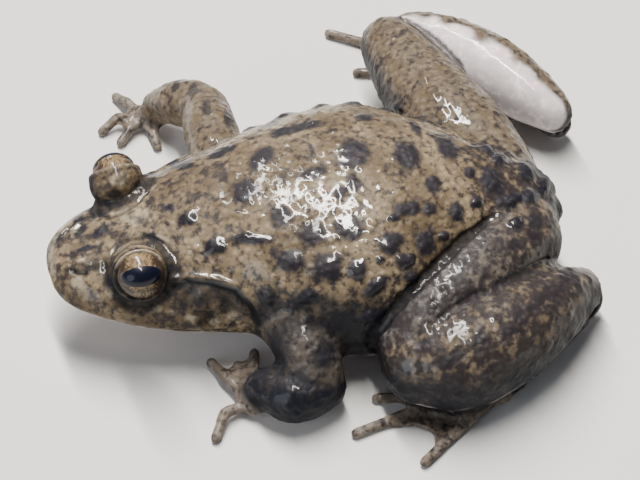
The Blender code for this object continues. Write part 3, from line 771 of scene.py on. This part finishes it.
# The mouth's groove is painted dark, a painted shade.
darkLines = np.maximum(darkLines, mouth["darkness"] * lips)
drums = np.zeros(len(places))
for side in (1, -1):
    middle = np.array(earDrum["place"]) * (side, 1, 1)
    away = np.linalg.norm((straight - middle) * earDrum["flatness"], axis=1) / earDrum["radius"]
    height += earDrum["height"] * np.exp(-((away - 1) / earDrum["rim"]) ** 2)
    height -= earDrum["bowl"] * smoothStep(away, *earDrum["bowlAt"])
    drums = np.maximum(drums, smoothStep(away, *earDrum["darkAt"]))
eyeRoom = np.ones(len(places))
for name in eyeNames:
    away = np.linalg.norm(places - np.array(eyeCentre(name)), axis=1) - eyeShape["radius"]
    eyeRoom *= smoothStep(away, *relief["eyeEdge"]) * (1 - relief["eyeShare"]) + relief["eyeShare"]
height = height * smoothStep(places[:, 2], *relief["floorEdge"]) * eyeRoom
places = places + normals * height[:, None]
places[:, 2] = np.maximum(places[:, 2], 0.0)
writePlaces(skin, places)

# How the skin is darkened by painted shade and painted shadows. The first number is how much, and the
# pair is where it starts and is whole: mm across, along or above the frog, or how far the skin looks up.
# Painted shade turns the low flanks, the near arm, the temple and the legs' undersides nearly black.
# What is dim only has more mottling, partly the frog's own pattern and partly painted shade on the low
# sides, the legs' undersides and the near leg.
shadeAt = {
    "flankShade": (1, 10.2, 7.0),
    "flankPatchShadow": 0.9,
    "nearArm": (1, 5, 9),
    "arm": 0.1,
    "forearm": 0.85,
    "armSides": (0.35, 0.95, 0.35),
    "shoulder": (0.9, 6.6, 7.9),
    "armPatchShadow": 0.95,
    "handsLess": 0.8,
    "legs": (0.95, 0.6, 0.05),
    "temple": 0.8,
    "patches": 0.85,
    "creaseShade": 0.8,
    "kneeLess": 0.7,
    "rounds": 6,
}
# Denser mottling, partly the frog's own pattern and partly painted shade: low on the sides, under the
# legs, on the near leg and at the knee.
dimAt = {
    "sides": (1, 12.5, 6.5),
    "rump": (1, 9, 15),
    "legs": (0.8, 0.9, 0.3),
    "nearLeg": (1, 2, 6),
    "rumpMore": (0.5, 11.5, 16),
    "rumpNearSide": (1, -5, 1),
    "flankMore": (0.35, 9.5, 6.5),
    "thighLeast": 0.75,
    "knee": (0.7, 14, 19),
    "head": 0.35,
    "handsLess": 0.9,
    "rounds": 4,
}
wetAt = {"looksUp": (1, 0.1, 0.7), "handsLess": 0.6, "ringsLess": 0.9}
greyAt = {"thigh": (1, 16.5, 12), "arm": 0.6}
paleMarkStrength = 1.7
crestHeights = (8, 13)  # mm

# The temple's painted shade: pixels below the fold, and between its two ends.
templeShape = {"top": (1, 6), "bottom": (36, 20), "front": (172, 184), "rear": (256, 244)}


def fading(values, share, start, whole):
    return share * smoothStep(values, start, whole)


across, along, up = places.T
looksUp = normals[:, 2]
shade = np.maximum(torsoPart * fading(up, *shadeAt["flankShade"]), shadeAt["flankPatchShadow"] * flankPatchShadow)
nearArm = armPart * fading(across, *shadeAt["nearArm"])
forearm = spread(belongsTo("forearm_left"), partRounds["forearm"])
armShade = shadeAt["arm"] + shadeAt["forearm"] * forearm + fading(looksUp, *shadeAt["armSides"])
armShade = np.maximum(armShade, fading(up, *shadeAt["shoulder"]))
armShade = np.maximum(nearArm * armShade, shadeAt["armPatchShadow"] * armPatchShadow)
shade = np.maximum(shade, armShade * (1 - shadeAt["handsLess"] * hands))
shade = np.maximum(shade, fading(looksUp, *shadeAt["legs"]) * legPart * (1 - belly) * (1 - hands))
dim = np.maximum(fading(up, *dimAt["sides"]), fading(along, *dimAt["rump"])) * torsoPart
dim = np.maximum(dim, legPart * fading(looksUp, *dimAt["legs"]))
dim += fading(along, *dimAt["rumpMore"]) * torsoPart * fading(across, *dimAt["rumpNearSide"])
dim += fading(up, *dimAt["flankMore"]) * torsoPart
nearLeg = legPart * fading(across, *dimAt["nearLeg"])
dim = np.maximum(dim, nearLeg * (dimAt["thighLeast"] + fading(along, *dimAt["knee"])))
dim = np.maximum(dim, headPart * dimAt["head"]) * (1 - dimAt["handsLess"] * hands)
foldX, foldY = zip(*templeFold)
for x, y, facing in (picture, otherPicture):
    below = y - np.interp(x, foldX, foldY)
    temple = smoothStep(below, *templeShape["top"]) * smoothStep(below, *templeShape["bottom"])
    temple = temple * smoothStep(x, *templeShape["front"]) * smoothStep(x, *templeShape["rear"])
    temple = temple * (facing > markShape["facing"]) * headPart
    shade = np.maximum(shade, shadeAt["temple"] * temple)
darkLines = np.maximum(darkLines, shadeAt["patches"] * patches)
# Less of that painted shade in the hands' and the knee's hollows.
creaseShade = creaseShade * (1 - shadeAt["handsLess"] * hands) * (1 - shadeAt["kneeLess"] * kneeFold)
nearThigh = spread(belongsTo("thigh_left"), partRounds["thigh"]) * fading(along, *greyAt["thigh"])
wet = fading(looksUp, *wetAt["looksUp"]) * (1 - wetAt["handsLess"] * hands)
wet = wet * (1 - wetAt["ringsLess"] * eyeShadeRing) + wetPlaces

skinValues = {
    "spots": spots,
    "limb_spots": limbSpots,
    "shade": spread(shade, shadeAt["rounds"]),
    "pale": np.maximum(belly, farShank * innerSide),
    "leg": legPart,
    "arm": armPart,
    "dim": spread(dim, dimAt["rounds"]),
    "creaseShade": creaseShade * shadeAt["creaseShade"],
    "hands": hands,
    "grey": nearThigh + greyAt["arm"] * nearArm * (1 - hands),
    "wet": wet,
    "lid_ring": np.maximum(eyeShadeRing, earDrum["darkness"] * drums),
    "lid_highlight": lidEdge,
    "brow": np.maximum(brow, paleMarkStrength * paleSpots),
    "dark_lines": np.minimum(darkLines, 1),
    "crest": smoothStep(up, *crestHeights) * torsoPart,
}
for name, values in skinValues.items():
    writeValues(skin, name, values)

print("thinning")
applyModifier(skin, "TRIANGULATE")
applyModifier(skin, "DECIMATE", ratio=skinShape["keptShare"])
places = readPlaces(skin)
places[:, 2] = np.maximum(places[:, 2], 0.0)
writePlaces(skin, places)
selectOnly(skin)
bpy.ops.object.shade_smooth()


def makeEyeball(name, side):
    radius, (gaze, above, along) = eyeShape["radius"], eyeAxes(side)
    centre = eyeCentre(name)
    segments, rings = eyeShape["faces"]
    bpy.ops.mesh.primitive_uv_sphere_add(segments=segments, ring_count=rings, radius=radius * mm)
    ball = bpy.context.active_object
    ball.name = "ball_" + name
    turn = Matrix((along, above, gaze)).transposed()
    flat = readPlaces(ball)
    lifted = flat / radius
    half, high = eyeShape["pupil"]
    reach = np.hypot(lifted[:, 0] / half, lifted[:, 1] / high) / eyeShape["lensReach"]
    lens = np.sqrt(np.clip(1 - reach ** 2, 0, 1)) * (lifted[:, 2] > 0)
    cornea = smoothStep(lifted[:, 2], eyeShape["corneaFrom"], 1.0)
    bulge = cornea * eyeShape["corneaBulge"] + lens * eyeShape["lensBulge"]
    flat = flat * (1 + bulge / radius)[:, None]
    for line, values in zip(("along", "above", "front"), lifted.T):
        writeValues(ball, line, values)
    writePlaces(ball, flat @ np.array(turn).T + np.array(centre))
    selectOnly(ball)
    bpy.ops.object.shade_smooth()
    return ball


print("eyeballs")
balls = {name: makeEyeball(name, side) for name, side in zip(eyeNames, (1, -1))}


def newMaterial(name):
    material = bpy.data.materials.new(name)
    material.use_nodes = True
    return material, material.node_tree, material.node_tree.nodes["Principled BSDF"]


def wire(tree, start, end):
    # Either joins an output to an input, or sets the input's own value.
    if isinstance(start, bpy.types.NodeSocket):
        tree.links.new(start, end)
    else:
        end.default_value = start


def coordinates(tree):
    return tree.nodes.new("ShaderNodeTexCoord").outputs["Object"]


def noiseNode(tree, scale, detail, roughness):
    made = tree.nodes.new("ShaderNodeTexNoise")
    made.inputs["Scale"].default_value = scale
    made.inputs["Detail"].default_value = detail
    made.inputs["Roughness"].default_value = roughness
    tree.links.new(coordinates(tree), made.inputs["Vector"])
    return made.outputs["Fac"]


def cellNode(tree, scale):
    made = tree.nodes.new("ShaderNodeTexVoronoi")
    made.inputs["Scale"].default_value = scale
    tree.links.new(coordinates(tree), made.inputs["Vector"])
    return made.outputs["Distance"]


def attribute(tree, name):
    made = tree.nodes.new("ShaderNodeAttribute")
    made.attribute_name = name
    return made.outputs["Fac"]


def ranged(tree, value, low, high, start=0.0, end=1.0):
    made = tree.nodes.new("ShaderNodeMapRange")
    made.interpolation_type = "SMOOTHSTEP"
    wire(tree, value, made.inputs["Value"])
    for socket, number in (("From Min", low), ("From Max", high), ("To Min", start), ("To Max", end)):
        made.inputs[socket].default_value = number
    return made.outputs["Result"]


def reckon(tree, operation, first, second=0.0):
    made = tree.nodes.new("ShaderNodeMath")
    made.operation = operation
    wire(tree, first, made.inputs[0])
    wire(tree, second, made.inputs[1])
    return made.outputs["Value"]


def blended(tree, low, high, share):
    made = tree.nodes.new("ShaderNodeMix")
    made.data_type = "RGBA"
    wire(tree, share, made.inputs["Factor"])
    wire(tree, low, made.inputs["A"])
    wire(tree, high, made.inputs["B"])
    return made.outputs["Result"]


skinLook = {
    "back": (0.124, 0.086, 0.048, 1),
    "backPale": (0.238, 0.176, 0.106, 1),
    "mottle": (0.024, 0.018, 0.019, 1),
    "warts": (0.007, 0.0065, 0.012, 1),
    "wartTops": (0.013, 0.011, 0.017, 1),
    "limb": (0.140, 0.104, 0.068, 1),
    "limbMarks": (0.019, 0.015, 0.018, 1),
    # The near black of the painted shade and the painted shadows.
    "flankShade": (0.0035, 0.004, 0.009, 1),
    "grey": (0.092, 0.085, 0.086, 1),
    # Paler than the back, partly the hands' and feet's own tone and partly painted light, making up for
    # the body's shade over them.
    "toes": (0.235, 0.195, 0.165, 1),
    "belly": (0.860, 0.780, 0.790, 1),
    # A pale tan, for the upper lids' painted highlight and for the pale marks.
    "lidEdge": (0.330, 0.270, 0.190, 1),
    # Near black, for the painted shade in creases, hollows and round the eyes, and for the snout's dark
    # stripe.
    "lines": (0.005, 0.005, 0.007, 1),
    "grain": 1500.0,  # grains to a metre
    "grainDepth": 0.00015,  # metres
    "bump": 0.5,
    "coatRoughness": 0.1,
    "specular": 0.2,
}

# Each noise is its scale to a metre, its detail and its roughness.
skinNoises = {
    "wide": (200, 4, 0.6),
    "middle": (620, 3, 0.5),
    "fine": (2200, 5, 0.6),
    "blotches": (950, 4, 0.6),
    "specks": (1900, 3, 0.55),
}

# Each layer is the two ends of a range in a noise or a painted value, and how strong it is at each,
# or 0 and 1.
skinLayers = {
    "backPale": (0.38, 0.62),
    "backOnLimbs": (0.45, 0.7),
    "grey": (0.35, 0.6, 0.9, 0.4),
    "toes": (0.3, 0.6, 0.85, 0.45),
    "dim": (0, 1, -0.08, 0.10),
    "mottle": (0.41, 0.61, 0, 0.92),
    "specks": (0.46, 0.66, 0, 0.6),
    "wartTops": (0.3, 1),
    "warts": (0.85, 1.65, 0, 0.95),
    "limbMarks": (1.05, 1.65, 0, 0.85),
    "flankShade": (0.3, 0.6, 0.8, 1),
    "belly": (0.32, 0.5, 1, 0.7),
    "rings": (0.35, 0.6, 0.7, 1),
    "brow": (0.4, 0.6, 0.75, 0.2),
    "grains": (0.1, 0.6, 1.08, 0.74),
    "roughness": (0.35, 0.7, 0.5, 0.7),
    "wetness": (0.42, 0.6, 0.15, 0.75),
    "wetShade": (0, 1, 1, 0.5),
    "grainHeights": (0.0, 0.65, 1, 0),
}
raggedness = {"warts": 0.8, "limbMarks": 0.9}  # how much the blotches break up the marks' borders
smoothBelly = 0.85  # how much of the grain is gone on pale skin
dullLines = 0.2  # how much rougher creases and rings are
fineFolds = 0.7  # against the grains


def multiplied(tree, first, second):
    return reckon(tree, "MULTIPLY", first, second)


def skinMaterial():
    material, tree, shader = newMaterial("wet granular skin")
    noises = {name: noiseNode(tree, *skinNoises[name]) for name in skinNoises}
    wide, middle, blotches = noises["wide"], noises["middle"], noises["blotches"]
    cells = cellNode(tree, skinLook["grain"])

    def painted(name):
        return attribute(tree, name)

    def layer(name, value):
        return ranged(tree, value, *skinLayers[name])

    def over(below, colour, share):
        return blended(tree, below, skinLook[colour], share)

    limbs = reckon(tree, "MAXIMUM", painted("leg"), painted("arm"))
    colour = over(skinLook["back"], "backPale", layer("backPale", wide))
    limbColour = over(skinLook["limb"], "back", layer("backOnLimbs", middle))
    colour = blended(tree, colour, limbColour, limbs)
    colour = over(colour, "grey", multiplied(tree, painted("grey"), layer("grey", wide)))
    # The hands' and feet's paler tone, partly painted light.
    colour = over(colour, "toes", multiplied(tree, painted("hands"), layer("toes", middle)))
    # Mottling, denser where dim, partly painted shade.
    darkAt = reckon(tree, "ADD", blotches, layer("dim", painted("dim")))
    colour = over(colour, "mottle", layer("mottle", darkAt))
    colour = over(colour, "mottle", layer("specks", noises["specks"]))
    wart = over(skinLook["warts"], "wartTops", layer("wartTops", painted("crest")))
    spots = reckon(tree, "ADD", painted("spots"), multiplied(tree, blotches, raggedness["warts"]))
    colour = blended(tree, colour, wart, layer("warts", spots))
    bars = multiplied(tree, blotches, raggedness["limbMarks"])
    bars = reckon(tree, "ADD", painted("limb_spots"), bars)
    colour = over(colour, "limbMarks", layer("limbMarks", bars))
    # Painted shade and painted shadows, near black.
    colour = over(colour, "flankShade", multiplied(tree, painted("shade"), layer("flankShade", middle)))
    colour = over(colour, "belly", multiplied(tree, painted("pale"), layer("belly", blotches)))
    # The painted shade round the eyes, and the ear drums' dark middles.
    ring = multiplied(tree, painted("lid_ring"), layer("rings", blotches))
    colour = over(colour, "lines", ring)
    # A painted highlight along the upper lids' edges.
    colour = over(colour, "lidEdge", painted("lid_highlight"))
    # The brow's pale patch and the pale marks, among them painted highlights on the lids.
    colour = over(colour, "lidEdge", multiplied(tree, painted("brow"), layer("brow", blotches)))
    # Painted shade in the creases, slits, mouth and hollows, with the snout's dark stripe and the dark
    # patches.
    lines = reckon(tree, "MAXIMUM", painted("dark_lines"), painted("creaseShade"))
    colour = over(colour, "lines", lines)

    smoothAt = multiplied(tree, painted("pale"), smoothBelly)
    grainy = reckon(tree, "SUBTRACT", 1.0, smoothAt)
    speckle = reckon(tree, "ADD", multiplied(tree, layer("grains", cells), grainy), smoothAt)
    shaded = tree.nodes.new("ShaderNodeMix")
    shaded.data_type = "RGBA"
    shaded.blend_type = "MULTIPLY"
    shaded.inputs["Factor"].default_value = 1
    wire(tree, colour, shaded.inputs["A"])
    wire(tree, speckle, shaded.inputs["B"])
    tree.links.new(shaded.outputs["Result"], shader.inputs["Base Color"])

    dull = multiplied(tree, reckon(tree, "MAXIMUM", ring, lines), dullLines)
    matt = reckon(tree, "ADD", layer("roughness", middle), dull)
    tree.links.new(matt, shader.inputs["Roughness"])
    wet = multiplied(tree, painted("wet"), layer("wetness", wide))
    wet = multiplied(tree, wet, layer("wetShade", painted("shade")))
    tree.links.new(wet, shader.inputs["Coat Weight"])
    shader.inputs["Coat Roughness"].default_value = skinLook["coatRoughness"]
    shader.inputs["Specular IOR Level"].default_value = skinLook["specular"]

    folds = multiplied(tree, noises["fine"], fineFolds)
    folds = multiplied(tree, reckon(tree, "ADD", layer("grainHeights", cells), folds), grainy)
    bump = tree.nodes.new("ShaderNodeBump")
    bump.inputs["Strength"].default_value = skinLook["bump"]
    bump.inputs["Distance"].default_value = skinLook["grainDepth"]
    tree.links.new(folds, bump.inputs["Height"])
    tree.links.new(bump.outputs["Normal"], shader.inputs["Normal"])
    return material


# Ranges are as in skinLayers, over the ball's long line, its upright line or the gaze, or a noise.
eyeLook = {
    "pupil": (0.003, 0.004, 0.012, 1),
    "iris": (0.215, 0.145, 0.075, 1),
    "irisDark": (0.034, 0.022, 0.016, 1),
    "rim": (0.012, 0.010, 0.010, 1),
    "flecks": (2600, 6, 0.7),  # to a metre, detail and roughness
    "rays": 7.0,  # round the pupil
    "rayBreaks": 4.0,  # along a ray
    "streaks": (1.6, 3.0),  # scale and detail
    "pupilPowers": (2.2, 2.0),  # how square its ends and its long sides are
    "pupilEdge": (0.95, 1.12),
    "darkSides": (0.30, 0.75, 0.0, 0.22),
    "darkBelow": (-0.15, -0.7, 0.0, 0.07),
    "gold": (0.36, 0.58),
    "irisEdge": (0.3, 0.5),
    "roughness": (0.3, 0.7, 0.35, 0.5),
    "coat": 0.35,
    "coatRoughness": 0.09,
    "specular": 0.1,
}


def eyeMaterial():
    material, tree, shader = newMaterial("golden eye")
    along, above, front = (attribute(tree, name) for name in ("along", "above", "front"))
    reach = 0.0
    for value, size, power in zip((along, above), eyeShape["pupil"], eyeLook["pupilPowers"]):
        share = reckon(tree, "ABSOLUTE", reckon(tree, "DIVIDE", value, size))
        reach = reckon(tree, "ADD", reach, reckon(tree, "POWER", share, power))
    flecks = noiseNode(tree, *eyeLook["flecks"])
    rays = tree.nodes.new("ShaderNodeCombineXYZ")
    wire(tree, multiplied(tree, reckon(tree, "ARCTAN2", above, along), eyeLook["rays"]), rays.inputs["X"])
    wire(tree, multiplied(tree, front, eyeLook["rayBreaks"]), rays.inputs["Y"])
    streaks = tree.nodes.new("ShaderNodeTexNoise")
    streaks.inputs["Scale"].default_value, streaks.inputs["Detail"].default_value = eyeLook["streaks"]
    tree.links.new(rays.outputs["Vector"], streaks.inputs["Vector"])
    sides = ranged(tree, reckon(tree, "ABSOLUTE", along), *eyeLook["darkSides"])
    dark = reckon(tree, "ADD", sides, ranged(tree, above, *eyeLook["darkBelow"]))
    gold = multiplied(tree, reckon(tree, "ADD", flecks, streaks.outputs["Fac"]), 0.5)
    gold = ranged(tree, reckon(tree, "SUBTRACT", gold, dark), *eyeLook["gold"])
    iris = blended(tree, eyeLook["irisDark"], eyeLook["iris"], gold)
    colour = blended(tree, eyeLook["rim"], iris, ranged(tree, front, *eyeLook["irisEdge"]))
    colour = blended(tree, eyeLook["pupil"], colour, ranged(tree, reach, *eyeLook["pupilEdge"]))
    tree.links.new(colour, shader.inputs["Base Color"])
    tree.links.new(ranged(tree, flecks, *eyeLook["roughness"]), shader.inputs["Roughness"])
    shader.inputs["Coat Weight"].default_value = eyeLook["coat"]
    shader.inputs["Coat Roughness"].default_value = eyeLook["coatRoughness"]
    shader.inputs["Specular IOR Level"].default_value = eyeLook["specular"]
    return material


print("materials")
skin.data.materials.clear()
skin.data.materials.append(skinMaterial())
goldenEye = eyeMaterial()
for ball in balls.values():
    ball.data.materials.append(goldenEye)

# The studio: a pale floor, a long key light high on the frog's right, and a soft fill in front.
studio = {
    "floor": (0.62, 0.61, 0.59, 1),
    "floorSize": 1.2,
    "floorRoughness": 0.7,
    "sky": (0.72, 0.84, 1.0, 1),
    "skyStrength": 0.14,
    "lightAway": 0.5,
}
lights = {
    "key": {
        "direction": Vector((-0.29, -0.06, 0.95)),
        "size": (0.045, 0.60),  # across and along the frog
        "power": 8.9,
        "colour": (1.0, 0.97, 0.92),
    },
    "fill": {
        "direction": Vector((0.55, -0.8, 0.35)),
        "size": (0.35, 0.35),
        "power": 0.9,
        "colour": (0.85, 0.92, 1.0),
    },
}


def softLight(name, direction, size, power, colour):
    bpy.ops.object.light_add(type="AREA", location=direction.normalized() * studio["lightAway"])
    light = bpy.context.active_object
    light.name = name
    light.data.shape = "ELLIPSE"
    light.data.size, light.data.size_y = size
    light.data.energy = power
    light.data.color = colour
    light.rotation_mode = "QUATERNION"
    light.rotation_quaternion = direction.to_track_quat("Z", "Y")


print("studio")
bpy.ops.mesh.primitive_plane_add(size=studio["floorSize"])
floor = bpy.context.active_object
floor.name = "floor"
floorMaterial, _, floorShader = newMaterial("pale floor")
floorShader.inputs["Base Color"].default_value = studio["floor"]
floorShader.inputs["Roughness"].default_value = studio["floorRoughness"]
floor.data.materials.append(floorMaterial)
for name, light in lights.items():
    softLight(name, **light)

world = bpy.data.worlds.new("studio")
world.use_nodes = True
background = world.node_tree.nodes["Background"]
background.inputs["Color"].default_value = studio["sky"]
background.inputs["Strength"].default_value = studio["skyStrength"]
bpy.context.scene.world = world

for piece in (skin, *balls.values()):
    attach(piece, "root")
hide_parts(*fleshNames)
for name, ball in balls.items():
    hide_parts(name)
print("done")
